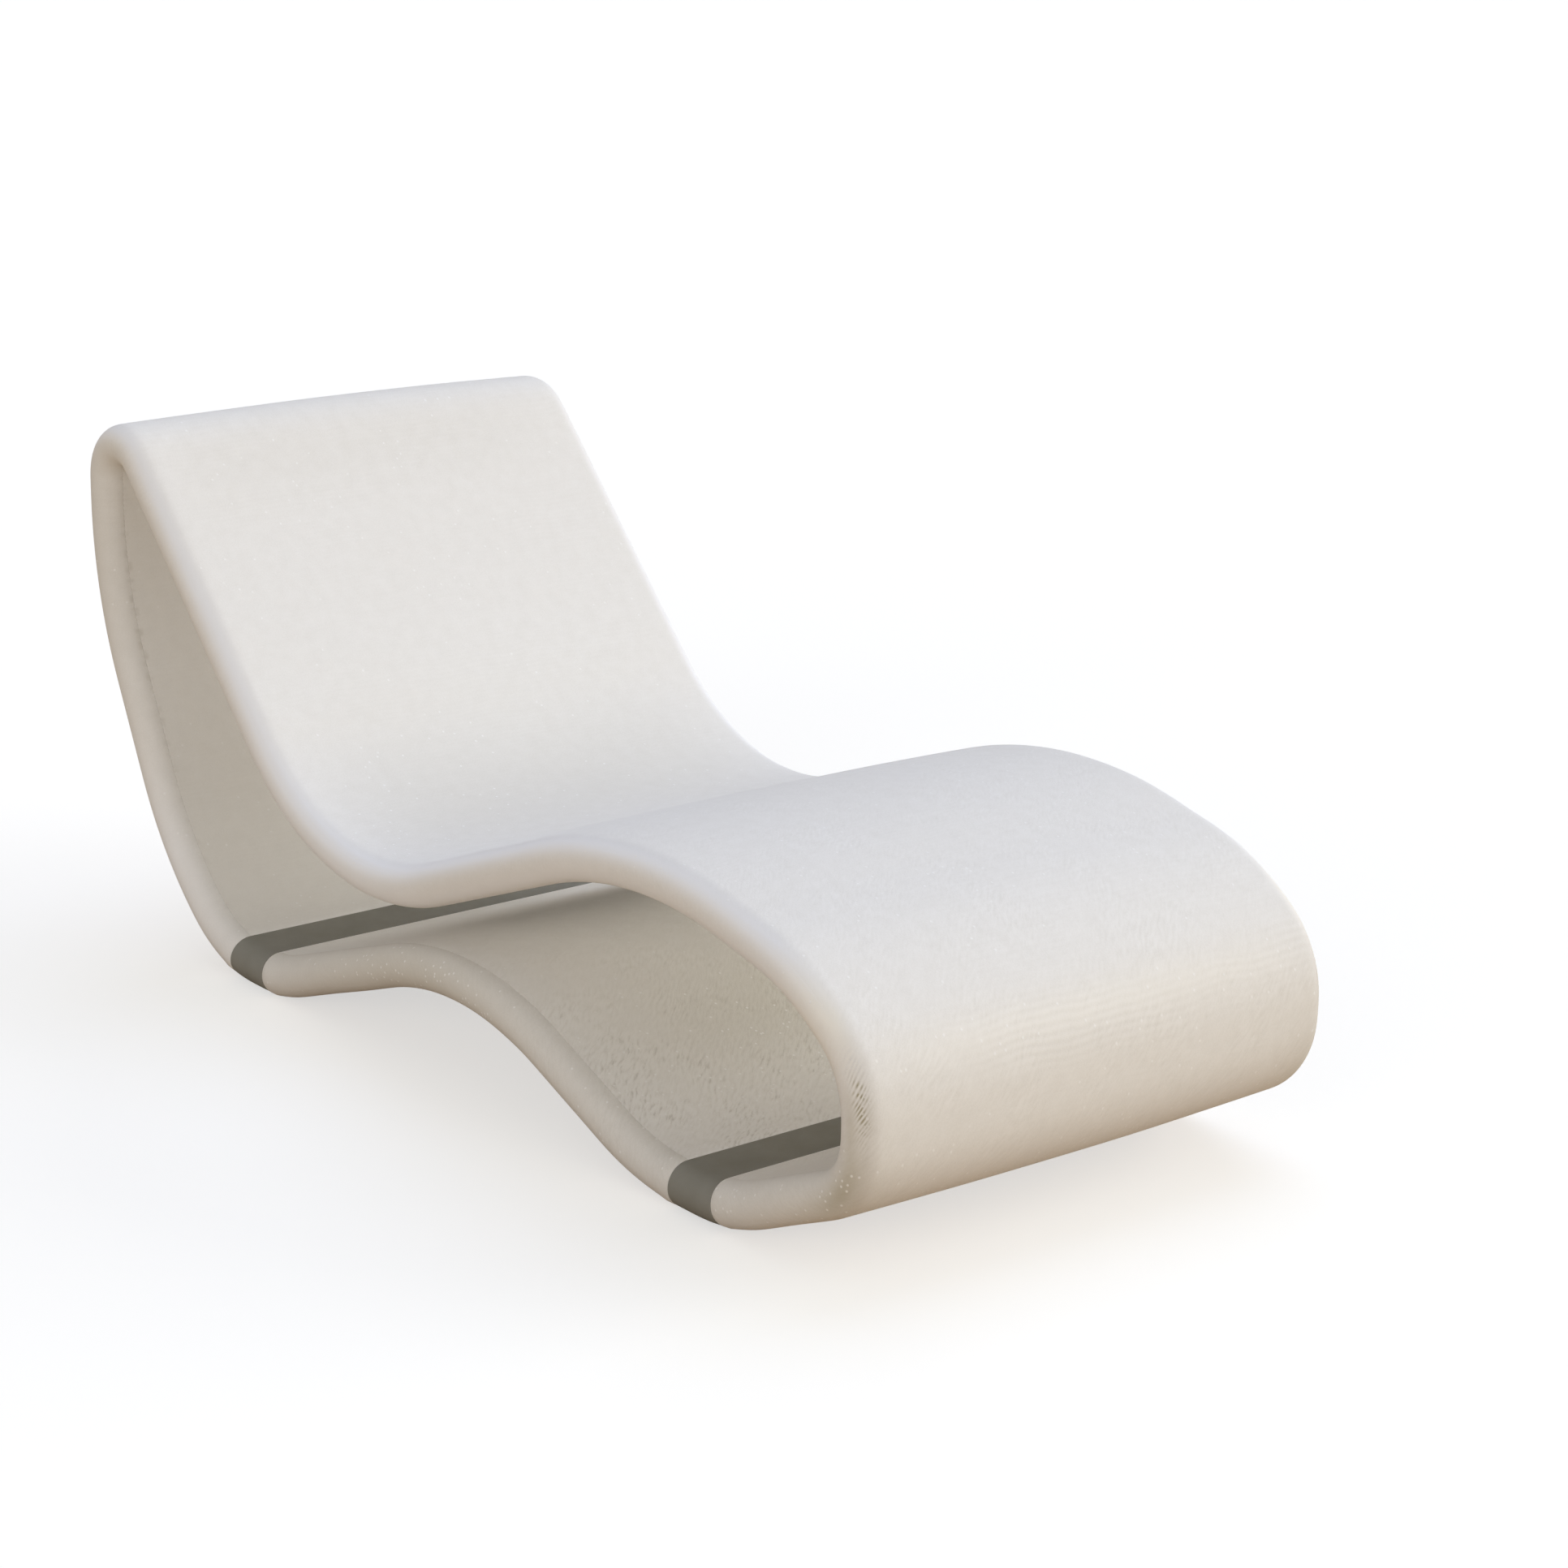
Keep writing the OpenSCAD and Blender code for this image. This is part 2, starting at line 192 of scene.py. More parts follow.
def stations(a, b, step, dense=(), tuck=False):
    """Distances from a to b: an even step, the dense stretches (low, high, step), and close ones at both
    ends if these are rounded."""
    s = np.linspace(a, b, max(2, int(math.ceil((b - a) / step)) + 1))
    for low, high, fine in dense:
        s = np.concatenate([s[(s < low) | (s > high)], np.arange(low, high, fine)])
    if tuck:
        s = s[(s == a) | (s == b) | ((s > a + TUCK_CLEAR) & (s < b - TUCK_CLEAR))]
        s = np.concatenate([s, a + TUCK_STEPS, b - TUCK_STEPS])
    return np.unique(np.round(s, 6))


# ---- Sections ----
# Places of the points on half a face, and as shares of its width those on a hem
HALF_FACE = EDGE_V * np.array([0.96, 0.88, 0.78, 0.66, 0.53, 0.4, 0.27, 0.13, 0.04])
HEM_SHARES = np.array([0, 0.08, 0.2, 0.45, 0.75])


def band_face(r, angles, hem=0.0):
    """Section over the outer face: the hem on the inner face if it has one, the round edge with
    u = r sin a and v = EDGE_V + r cos a at the angles a in degrees, the face at u = r, and the same
    mirrored."""
    a = np.radians(angles)
    u = np.concatenate([r * np.sin(a), np.full(len(HALF_FACE), r)])
    v = np.concatenate([EDGE_V + r * np.cos(a), HALF_FACE])
    if hem:
        u = np.concatenate([np.full(len(HEM_SHARES), -r), u])
        v = np.concatenate([EDGE_V - hem * (1 - HEM_SHARES), v])
    return np.concatenate([u, u[::-1]]), np.concatenate([v, -v[::-1]])


def section_length(u, v):
    """Length of the section from its right end to each of its points."""
    return np.concatenate([[0], np.cumsum(np.hypot(np.diff(u), np.diff(v)))])


def crowned(s, u, v):
    """Section raised by the crown over its outer face: u + crown (1 - (v / EDGE_V)^2) between the hoops."""
    rise = np.where((u > 0) & (abs(v) < EDGE_V), 1 - (v / EDGE_V) ** 2, 0)
    return u[None, :] + crown_at(s)[:, None] * rise[None, :]


def tucked(distance, radius):
    """How far a rounded edge has sunk at a distance from its end: a quarter circle of the radius."""
    x = np.clip(1 - distance / radius, 0, 1)
    return radius * (1 - np.sqrt(1 - x * x))


def pulled_in(u, v, sunk):
    """Section points moved inwards by sunk: towards the hoop in a round edge, and straight in on a face."""
    over = np.clip(abs(v)[None, :] - EDGE_V, 0, None)
    keep = 1 - sunk / np.maximum(np.hypot(u, over), 1e-9)
    return u * keep, np.sign(v)[None, :] * (np.minimum(abs(v), EDGE_V)[None, :] + over * keep)


# ---- Meshes ----
def grid_faces(rows, columns, wrap):
    """Quads over a grid of points, row after row, closed round its columns if wrap is set, and the row and
    column of each of their corners."""
    i, j = np.meshgrid(np.arange(rows - 1), np.arange(columns if wrap else columns - 1), indexing="ij")
    k = (j + 1) % columns
    here, after = i * columns, (i + 1) * columns
    quads = np.stack([here + j, here + k, after + k, after + j], axis=2)
    row = np.stack([i, i, i + 1, i + 1], axis=2)
    column = np.stack([j, j + 1, j + 1, j], axis=2)
    return quads.reshape(-1, 4), row.reshape(-1, 4), column.reshape(-1, 4)


SHARP_ANGLE = 50  # degrees between two faces from which their edge is shaded sharp


def mesh_piece(name, points, quads, uv, attributes=()):
    """A mesh object from points, quads and the quads' corner coordinates in metres, turned so that its
    faces point outwards."""
    a, b, c, d = (points[quads[:, k]] for k in range(4))
    volume = (np.einsum("ij,ij->i", a, np.cross(b, c)) + np.einsum("ij,ij->i", a, np.cross(c, d))).sum()
    if volume < 0:
        quads, uv = quads[:, ::-1], uv[:, ::-1]
    mesh = bpy.data.meshes.new(name)
    mesh.vertices.add(len(points))
    mesh.vertices.foreach_set("co", points.astype(np.float32).ravel())
    mesh.loops.add(quads.size)
    mesh.loops.foreach_set("vertex_index", quads.astype(np.int32).ravel())
    mesh.polygons.add(len(quads))
    mesh.polygons.foreach_set("loop_start", np.arange(0, quads.size, 4, dtype=np.int32))
    mesh.polygons.foreach_set("loop_total", np.full(len(quads), 4, dtype=np.int32))
    mesh.update(calc_edges=True)
    mesh.uv_layers.new(name="weave").data.foreach_set("uv", uv.astype(np.float32).ravel())
    for label, values in attributes:
        made = mesh.attributes.new(label, "FLOAT", "POINT")
        made.data.foreach_set("value", values.astype(np.float32).ravel())
    mesh.polygons.foreach_set("use_smooth", np.ones(len(quads), dtype=bool))
    mesh.set_sharp_from_angle(angle=math.radians(SHARP_ANGLE))
    mesh.validate()
    piece = bpy.data.objects.new(name, mesh)
    bpy.context.scene.collection.objects.link(piece)
    return piece


def wall(name, s, outer, inner, width, closed=False, attributes=()):
    """A wall between two grids of points with a row for each station: quads over both grids, over the
    first and last row, and along the two long edges of an open section. width is the length across the
    section, which with s gives the weave its coordinates."""
    rows, columns = outer.shape[:2]
    half = rows * columns
    face, row, column = grid_faces(rows, columns, closed)
    span = np.append(width, 2 * width[-1] - width[-2]) if closed else width
    face_uv = np.stack([s[row], span[column]], axis=2)
    quads, uvs = [face, face[:, ::-1] + half], [face_uv, face_uv[:, ::-1]]

    def join(a, b, along, aside, back):
        """Quads from the outer grid's points a and b to the same points of the inner grid."""
        quad = np.stack([a, b, half + b, half + a], axis=1)
        uv = np.stack(np.broadcast_arrays(along, aside), axis=2)
        quads.append(quad[:, ::-1] if back else quad)
        uvs.append(uv[:, ::-1] if back else uv)

    j = np.arange(columns if closed else columns - 1)
    aside = np.stack([span[j], span[j + 1], span[j + 1], span[j]], axis=1)
    for end, back in ((0, True), (rows - 1, False)):
        join(end * columns + j, end * columns + (j + 1) % columns, s[end], aside, back)
    if not closed:
        i = np.arange(rows - 1)
        along = np.stack([s[i], s[i + 1], s[i + 1], s[i]], axis=1)
        for edge, back in ((0, False), (columns - 1, True)):
            join(i * columns + edge, (i + 1) * columns + edge, along, span[edge], back)
    points = np.concatenate([outer.reshape(-1, 3), inner.reshape(-1, 3)])
    values = [(label, np.concatenate([v.ravel(), v.ravel()])) for label, v in attributes]
    return mesh_piece(name, points, np.concatenate(quads), np.concatenate(uvs), values)


def finish_piece(piece, material, nodes):
    """Gives a piece its material and the body that it rides on, and hides the nodes that it stands for."""
    piece.data.materials.append(material)
    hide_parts(*nodes)
    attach(piece, "root")
    return piece


# ---- Nodes ----
class Tree:
    """Adds nodes to a node tree. A value given to an input is a socket to link or a plain value."""

    def __init__(self, tree):
        self.tree = tree

    def give(self, node, inputs):
        """Links or sets the inputs of a node."""
        for key, value in inputs.items():
            if isinstance(value, bpy.types.NodeSocket):
                self.tree.links.new(value, node.inputs[key])
            else:
                node.inputs[key].default_value = value

    def add(self, kind, inputs, **settings):
        node = self.tree.nodes.new(kind)
        for key, value in settings.items():
            setattr(node, key, value)
        self.give(node, inputs)
        return node

    def math(self, operation, a, b=0.0, c=0.0):
        return self.add("ShaderNodeMath", {0: a, 1: b, 2: c}, operation=operation).outputs[0]

    def times(self, first, *others):
        for other in others:
            first = self.math("MULTIPLY", first, other)
        return first

    def plus(self, first, *others):
        for other in others:
            first = self.math("ADD", first, other)
        return first

    def vector(self, operation, a, b):
        return self.add("ShaderNodeVectorMath", {0: a, 1: b}, operation=operation).outputs[0]

    def noise(self, vector, scale=1.0, detail=2.0, roughness=0.5, stretched=None):
        """Noise around 0.5, on the vector times stretched if that is given."""
        if stretched:
            vector = self.vector("MULTIPLY", vector, stretched)
        inputs = {"Vector": vector, "Scale": scale, "Detail": detail, "Roughness": roughness}
        return self.add("ShaderNodeTexNoise", inputs).outputs[0]

    def between(self, value, low, high, to_low=0.0, to_high=1.0):
        """A straight change from to_low to to_high as the value goes from low to high, level beyond."""
        inputs = {0: value, 1: low, 2: high, 3: to_low, 4: to_high}
        return self.add("ShaderNodeMapRange", inputs, clamp=True).outputs[0]

    def mix(self, share, a, b):
        return self.add("ShaderNodeMix", {0: share, 6: a, 7: b}, data_type="RGBA").outputs[2]

    def parts(self, vector):
        return self.add("ShaderNodeSeparateXYZ", {0: vector}).outputs

    def weave_place(self):
        return self.add("ShaderNodeUVMap", {}, uv_map="weave").outputs[0]

    def object_place(self):
        return self.add("ShaderNodeTexCoord", {}).outputs["Object"]

    def attribute(self, name):
        return self.add("ShaderNodeAttribute", {}, attribute_name=name).outputs["Fac"]

    def seen_by_camera(self):
        return self.add("ShaderNodeLightPath", {}).outputs["Is Camera Ray"]


def weave_group():
    """Fine knit: two crossing threads as cosines of the weave coordinates, short slanted strokes and ribs
    across the width, each stronger in some patches than in others, and a grain of single threads. Slow
    noise makes them all wander, and small blotches lie over them. Gives a height and a tone, both around
    0.5. Pitch and Rib are lengths in metres, Ribbed and Stroked are strengths."""
    tree = bpy.data.node_groups.new("knit_threads", "ShaderNodeTree")
    tree.interface.new_socket(name="Vector", in_out="INPUT", socket_type="NodeSocketVector")
    for label, value in (("Pitch", 0.0023), ("Rib", 0.009), ("Ribbed", 0.5), ("Stroked", 0.5)):
        socket = tree.interface.new_socket(name=label, in_out="INPUT", socket_type="NodeSocketFloat")
        socket.default_value = value
    for label in ("Height", "Tone"):
        tree.interface.new_socket(name=label, in_out="OUTPUT", socket_type="NodeSocketFloat")
    t = Tree(tree)
    vector, pitch, rib_pitch, ribbed, stroked = t.add("NodeGroupInput", {}).outputs[:5]

    wander = t.add("ShaderNodeTexNoise", {"Vector": vector, "Scale": 9.0, "Detail": 2.0}).outputs[1]
    shift = t.vector("SUBTRACT", wander, (0.5, 0.5, 0.5))
    moved = t.vector("ADD", t.vector("MULTIPLY", shift, (0.02, 0.02, 0)), vector)
    s, v = t.parts(moved)[:2]
    along, aside = t.math("SUBTRACT", s, v), t.plus(s, v)
    turns = lambda length, period: t.math("COSINE", t.times(t.math("DIVIDE", length, period), 2 * math.pi))
    thread = t.times(turns(along, pitch), turns(aside, pitch))

    slant = t.add("ShaderNodeCombineXYZ", {0: t.times(along, 42.0), 1: t.times(aside, 165.0)}).outputs[0]
    stroke = t.math("SUBTRACT", t.noise(slant, roughness=0.45), 0.5)
    stroke_patches = t.between(t.noise(vector, scale=12.0), 0.42, 0.62, 0.35, 1.0)
    stroke = t.times(stroke, stroke_patches, stroked)
    rib_patches = t.between(t.noise(vector, detail=3.0, stretched=(9.0, 3.0, 1.0)), 0.42, 0.6, 0.1, 1.0)
    rib = t.times(turns(s, rib_pitch), rib_patches, ribbed)
    fine = t.noise(moved, detail=3.0, roughness=0.65, stretched=(420.0, 420.0, 1.0))
    grain = t.math("SUBTRACT", fine, 0.5)
    blotch = t.math("SUBTRACT", t.noise(vector, scale=42.0, detail=3.0, roughness=0.55), 0.5)

    height = t.math("MULTIPLY_ADD", thread, 0.08, t.math("MULTIPLY_ADD", stroke, 1.3, 0.5))
    height = t.plus(height, t.math("MULTIPLY_ADD", rib, 0.2, t.times(grain, 0.4)))
    tone = t.math("MULTIPLY_ADD", blotch, 0.5, t.math("MULTIPLY_ADD", grain, 0.4, height))
    t.add("NodeGroupOutput", {"Height": height, "Tone": tone})
    return tree


WEAVE = weave_group()


def weave_in(t, uv, pitch, rib, ribbed, stroked):
    """The knit group in a material, on the piece's own coordinates: its height and tone."""
    inputs = {"Vector": uv, "Pitch": pitch, "Rib": rib, "Ribbed": ribbed, "Stroked": stroked}
    node = t.add("ShaderNodeGroup", inputs, node_tree=WEAVE)
    return node.outputs["Height"], node.outputs["Tone"]


def material(name, shader_kind="ShaderNodeBsdfPrincipled"):
    """A new material with its tree helper and its shader, which is linked to the output."""
    made = bpy.data.materials.new(name)
    made.use_nodes = True
    made.node_tree.nodes.clear()
    t = Tree(made.node_tree)
    shader = t.add(shader_kind, {})
    t.add("ShaderNodeOutputMaterial", {0: shader.outputs[0]})
    return made, t, shader


def surface(t, shader, colour, relief, strength, distance, others):
    """Gives the shader its colour, a bump from the relief (distance in metres) and its other inputs."""
    bump = t.add("ShaderNodeBump", {"Height": relief, "Strength": strength, "Distance": distance})
    t.give(shader, {"Base Color": colour, "Normal": bump.outputs[0], **others})


# ---- Finishes ----
# Changes of the cover's look along the loop: from, to, strength before and strength after
RIBS_START, RIBS_STOP = (1.18, 1.205, 0.12, 0.85), (1.24, 1.275, 1.0, 0.2)
LEG_STROKES, HEEL_STROKES = (1.3, 2.4, 0.75, 0.15), (4.1, 4.4, 0.0, 0.3)
BASE_STROKES_FROM, BASE_STROKES_TO = 4.78, 5.04
NOSE_FLECKS, BASE_FLECKS = (1.05, 1.15, 0.05, 0.0), (4.9, 5.2, 0.0, 0.05)
BROW_FLECKS_START, BROW_FLECKS_STOP = (1.195, 1.215, 0.0, 0.04), (1.245, 1.265, 1.0, 0.0)
WORN_HEM_START, WORN_HEM_STOP = (3.4, 3.5, 0.3, 0.8), (3.66, 3.8, 1.0, 0.3)
CREAM_FROM, CREAM_TO = 1.3, 1.42  # where the painted highlight turns from cream to white
# Changes with the distance from the hem, and with that from the middle of a fleck
PUCKER_NEAR, WORN_NEAR = (0.0, 0.009, 1.0, 0.0), (0.003, 0.0085, 1.0, 0.0)
FLECK_NEAR = (0.12, 0.3, 1.0, 0.0)
MOST_PAINTED_HIGHLIGHT, MOST_SOIL_AND_SHADE = -0.4, 1.2  # limits of the attribute for soil and painted light: soil and painted shade above 0, painted highlight below 0, and 0 on clean fabric
FLECKED_SOIL_AND_SHADE = (0.2, 0.55)  # soil and painted shade over which flecks come in

THREAD_PITCH, RIB_PITCH = 0.0023, 0.0088
STITCH_PITCH = 0.0085
FLECK_CELLS = 130.0  # fleck places for each metre
FLECK_LEVEL = (1.027, 1.033)  # chance from which a place has a fleck

# Colours: painted shade in the knit's valleys, worn seam spots, soil with painted shade, painted highlights,
# and painted glints
KNIT_VALLEY_SHADE, WORN_KNIT = (0.42, 0.39, 0.33, 1), (0.42, 0.38, 0.30, 1)
SOIL_AND_SHADE_KNIT = (0.34, 0.288, 0.155, 1)
PAINTED_HIGHLIGHT_CREAM, PAINTED_HIGHLIGHT_WHITE = (0.99, 0.955, 0.87, 1), (0.955, 0.955, 0.96, 1)
PAINTED_GLINT = (0.97, 0.955, 0.925, 1)


def cover_fabric(name, deep, light, lighter, flecked, worked):
    """Off-white knitted cover: a warm thread with slightly deeper valleys and painted shade in the deepest,
    faint slow mottling, rare bright flecks painted as glints, more of them where soil and painted shade lie
    and on the brow of the foot end, a faint line of worn spots along hems, soil with painted shade, and
    painted highlights. The ribs show most on the brow of the foot end, and the strokes on the leg rest and
    behind the front grip band. flecked and worked say how much flecks follow the soil and painted shade,
    and how much the strokes show on the base."""
    made, t, shader = material(name)
    uv = t.weave_place()
    s = t.parts(uv)[0]
    hem, soil_and_painted_light = t.attribute("hem"), t.attribute("soil_and_painted_light")

    # The knit, with the fabric pulled in between the stitches of a hem
    ribbed = t.times(t.between(s, *RIBS_START), t.between(s, *RIBS_STOP))
    base_strokes = t.between(s, BASE_STROKES_FROM, BASE_STROKES_TO, 0.0, worked)
    stroked = t.plus(t.between(s, *LEG_STROKES), t.between(s, *HEEL_STROKES), base_strokes)
    height, tone = weave_in(t, uv, THREAD_PITCH, RIB_PITCH, ribbed, stroked)
    near_hem = t.between(hem, *PUCKER_NEAR)
    pucker = t.times(t.math("COSINE", t.times(s, 2 * math.pi / STITCH_PITCH)), near_hem, near_hem)

    # Flecks, painted glints: a number drawn for each cell says whether it has one, near the middle of the
    # cell
    cells = t.add("ShaderNodeTexVoronoi", {"Vector": uv, "Scale": FLECK_CELLS}, voronoi_dimensions="2D")
    distance, drawn = cells.outputs[:2]
    chance = t.plus(
        t.add("ShaderNodeSeparateColor", {0: drawn}).outputs[0],
        t.math("MAXIMUM", t.between(s, *NOSE_FLECKS), t.between(s, *BASE_FLECKS)),
        t.between(soil_and_painted_light, *FLECKED_SOIL_AND_SHADE, 0.0, flecked),
        t.times(t.between(s, *BROW_FLECKS_START), t.between(s, *BROW_FLECKS_STOP)),
    )
    rare = t.between(t.math("MULTIPLY_ADD", t.noise(uv, scale=6.0, detail=1.0), 0.09, chance), *FLECK_LEVEL)
    fleck = t.times(t.between(distance, *FLECK_NEAR), rare)

    # Worn spots in a line along the hem
    spots = t.between(t.noise(uv, detail=1.0, stretched=(55.0, 2.0, 1.0)), 0.5, 0.62, 0.03, 0.3)
    worn_here = t.times(t.between(s, *WORN_HEM_START), t.between(s, *WORN_HEM_STOP))
    marked = t.times(t.between(hem, *WORN_NEAR), t.times(spots, worn_here))

    # Colours: mottled threads, their valleys with painted shade in the deepest, worn seam spots, soil with
    # painted shade, painted highlights, and the flecks painted as glints on top
    light = t.mix(t.between(t.noise(uv, scale=2.6, detail=3.0), 0.3, 0.7), light, lighter)
    colour = t.mix(t.between(tone, 0.2, 0.7), deep, light)
    # Painted shade in the deepest valleys of the knit
    colour = t.mix(t.between(tone, -0.3, 0.2, 0.32, 0.0), colour, KNIT_VALLEY_SHADE)
    colour = t.mix(marked, colour, WORN_KNIT)
    # Soil and painted shade darken the knit
    colour = t.mix(t.times(soil_and_painted_light, 0.8), colour, SOIL_AND_SHADE_KNIT)
    # Painted highlights where the attribute is below 0: cream on the foot end, white further on
    painted_highlight = t.mix(t.between(s, CREAM_FROM, CREAM_TO), PAINTED_HIGHLIGHT_CREAM, PAINTED_HIGHLIGHT_WHITE)
    colour = t.mix(t.between(soil_and_painted_light, MOST_PAINTED_HIGHLIGHT, 0.0, 1.0, 0.0), colour, painted_highlight)
    # Flecks painted as glints on top
    colour = t.mix(t.times(fleck, 0.75), colour, PAINTED_GLINT)

    relief = t.plus(t.math("MULTIPLY_ADD", pucker, 0.25, height), t.times(fleck, 0.5))
    surface(t, shader, colour, relief, strength=0.35, distance=0.001, others={
        "Roughness": t.between(tone, 0.0, 1.0, 0.95, 0.8),
        "Sheen Weight": 0.15,
        "Sheen Roughness": 0.5,
        "Sheen Tint": (1.0, 0.98, 0.95, 1),
        "Specular IOR Level": 0.2,
    })
    return made


def grip_rubber():
    """Warm dark grey moulded rubber: fine grain, slow clouding and paler scuffs."""
    made, t, shader = material("grip_rubber")
    uv = t.weave_place()
    grain = t.noise(uv, scale=900.0, detail=3.0, roughness=0.6)
    cloud = t.noise(uv, scale=16.0, detail=4.0, roughness=0.6)
    scuff = t.between(t.noise(uv, detail=5.0, roughness=0.7, stretched=(60.0, 9.0, 1.0)), 0.6, 0.8)
    colour = t.mix(t.between(cloud, 0.3, 0.7), (0.248, 0.242, 0.207, 1), (0.285, 0.277, 0.242, 1))
    colour = t.mix(t.times(scuff, 0.25), colour, (0.34, 0.325, 0.29, 1))
    others = {"Roughness": t.between(grain, 0.3, 0.7, 0.62, 0.8), "Specular IOR Level": 0.35}
    surface(t, shader, colour, grain, strength=0.3, distance=0.0003, others=others)
    return made


def sling_webbing():
    """Dark elastic webbing with coarse threads."""
    made, t, shader = material("sling_webbing")
    height, tone = weave_in(t, t.weave_place(), pitch=0.005, rib=0.007, ribbed=1.0, stroked=0.5)
    colour = t.mix(t.between(tone, 0.1, 0.8), (0.02, 0.02, 0.022, 1), (0.075, 0.075, 0.08, 1))
    surface(t, shader, colour, height, strength=0.7, distance=0.0012, others={"Roughness": 0.85})
    return made


def foam():
    """Cream moulded foam with open cells and a slight yellowing."""
    made, t, shader = material("foam")
    place = t.object_place()
    cells = t.add("ShaderNodeTexVoronoi", {"Vector": place, "Scale": 420.0}).outputs[0]
    cloud = t.noise(place, scale=6.0, detail=4.0, roughness=0.6)
    colour = t.mix(t.between(cloud, 0.3, 0.7), (0.72, 0.64, 0.42, 1), (0.8, 0.75, 0.56, 1))
    colour = t.mix(t.between(cells, 0.0, 0.5, 0.35, 0.0), colour, (0.45, 0.38, 0.22, 1))
    surface(t, shader, colour, cells, strength=0.5, distance=0.001, others={"Roughness": 0.95})
    return made


def frame_paint():
    """Grey powder coat on steel: fine orange peel and a little wear."""
    made, t, shader = material("frame_paint")
    place = t.object_place()
    peel = t.noise(place, scale=700.0)
    cloud = t.noise(place, scale=8.0, detail=3.0)
    wear = t.between(t.noise(place, scale=30.0, detail=6.0, roughness=0.7), 0.66, 0.72)
    colour = t.mix(t.between(cloud, 0.3, 0.7), (0.17, 0.175, 0.18, 1), (0.21, 0.215, 0.22, 1))
    colour = t.mix(t.times(wear, 0.6), colour, (0.33, 0.32, 0.31, 1))
    others = {"Metallic": t.times(wear, 0.4), "Roughness": t.between(peel, 0.3, 0.7, 0.38, 0.5)}
    surface(t, shader, colour, peel, strength=0.15, distance=0.0003, others=others)
    return made


def seam_thread():
    """Waxed sand-coloured sewing thread, twisted."""
    made, t, shader = material("seam_thread")
    twist = t.noise(t.object_place(), scale=2500.0, detail=1.0)
    colour = t.mix(twist, (0.66, 0.62, 0.55, 1), (0.75, 0.71, 0.64, 1))
    surface(t, shader, colour, twist, strength=0.4, distance=0.0002, others={"Roughness": 0.7})
    return made


COVER = cover_fabric(
    "cover_fabric", deep=(0.815, 0.787, 0.737, 1), light=(0.88, 0.853, 0.806, 1),
    lighter=(0.89, 0.867, 0.826, 1), flecked=0.34, worked=0.5,
)
# The lining is the cover's knit made lighter: painted light on the shaded inner faces of the loop
LINING = cover_fabric(
    "lining_fabric", deep=(0.865, 0.84, 0.79, 1), light=(0.925, 0.901, 0.855, 1),
    lighter=(0.93, 0.911, 0.87, 1), flecked=0.0, worked=2.5,
)
RUBBER, WEBBING, FOAM = grip_rubber(), sling_webbing(), foam()
PAINT, THREAD = frame_paint(), seam_thread()

# ---- Cover ----
HEM_ROLL, END_ROLL = 0.0006, 0.0035  # radius of a rolled hem and of a rounded end
SWELL_RISE, SWELL_AT, SWELL_SPREAD = 0.0011, 0.014, 0.011  # swell of the padding beside a grip band
CLOSED = 0.0004  # how far hem and lining each reach into the seam's gap
PRESSED = 0.00005  # lowest height of the cover above the floor
UNEVEN = 0.0004  # height of the foam's soft unevenness
UNEVEN_WAVES = ((1, 19, 7, 0), (0.7, -31, 13, 1.3), (0.5, 47, 23, 0.4))
OUTER_SIDE = 0.02  # the unevenness shows where u is above this

# The gathers: the distance between two, their height, and their slant at a place along the loop, which
# falls from there and stays between two limits
GATHER_PITCH, GATHER_HIGH = 0.0085, 0.0009
GATHER_SLANT, SLANT_AT, SLANT_FALL, SLANT_LOW, SLANT_HIGH = 1.9, 1.17, 13, 0.6, 2
GATHER_WOBBLE = ((1.2, 57, 90, 0), (0.9, 171, -240, 1))
# Patches on the round edges: middle and spread along the loop, then middle and spread of the reach, which
# is the distance round the edge from its middle
GATHERED = (1.2, 0.034, 0.022, 0.0085)
# Brown stains with painted shade there, below the gathers and under the nose, with the amount first
STAINS_AND_SHADE = (
    (0.3, 1.18, 0.045, 0.006, 0.009), (0.5, 1.09, 0.055, 0.012, 0.018), (0.22, 1.05, 0.09, 0.018, 0.06),
    (0.12, 1.185, 0.02, 0.03, 0.006),
)
# Painted light on the lying face, painted shade above 0 and painted highlight below 0: amount, middle and
# spread along the loop
PAINTED_LIGHT_ALONG = ((0.2, 2.47, 0.2), (0.07, 3.16, 0.08), (-0.13, 1.236, 0.022))
# The crease below the gathers: depth, stretch of the loop, and middle and spread of the reach
CREASE_DEEP, CREASE_STRETCH, CREASE_REACH = 0.0005, (1.045, 0.04, 1.15, 0.05), (0.02, 0.006)


def edge_angle(u, v):
    """Angle of a section's points on the round edges: from -90 degrees on the inner face to 90 on the outer
    one, in radians."""
    on_face = np.where(u > 0, math.pi / 2, -math.pi / 2)
    return np.where(abs(v) > EDGE_V, np.arctan2(u, abs(v) - EDGE_V), on_face)


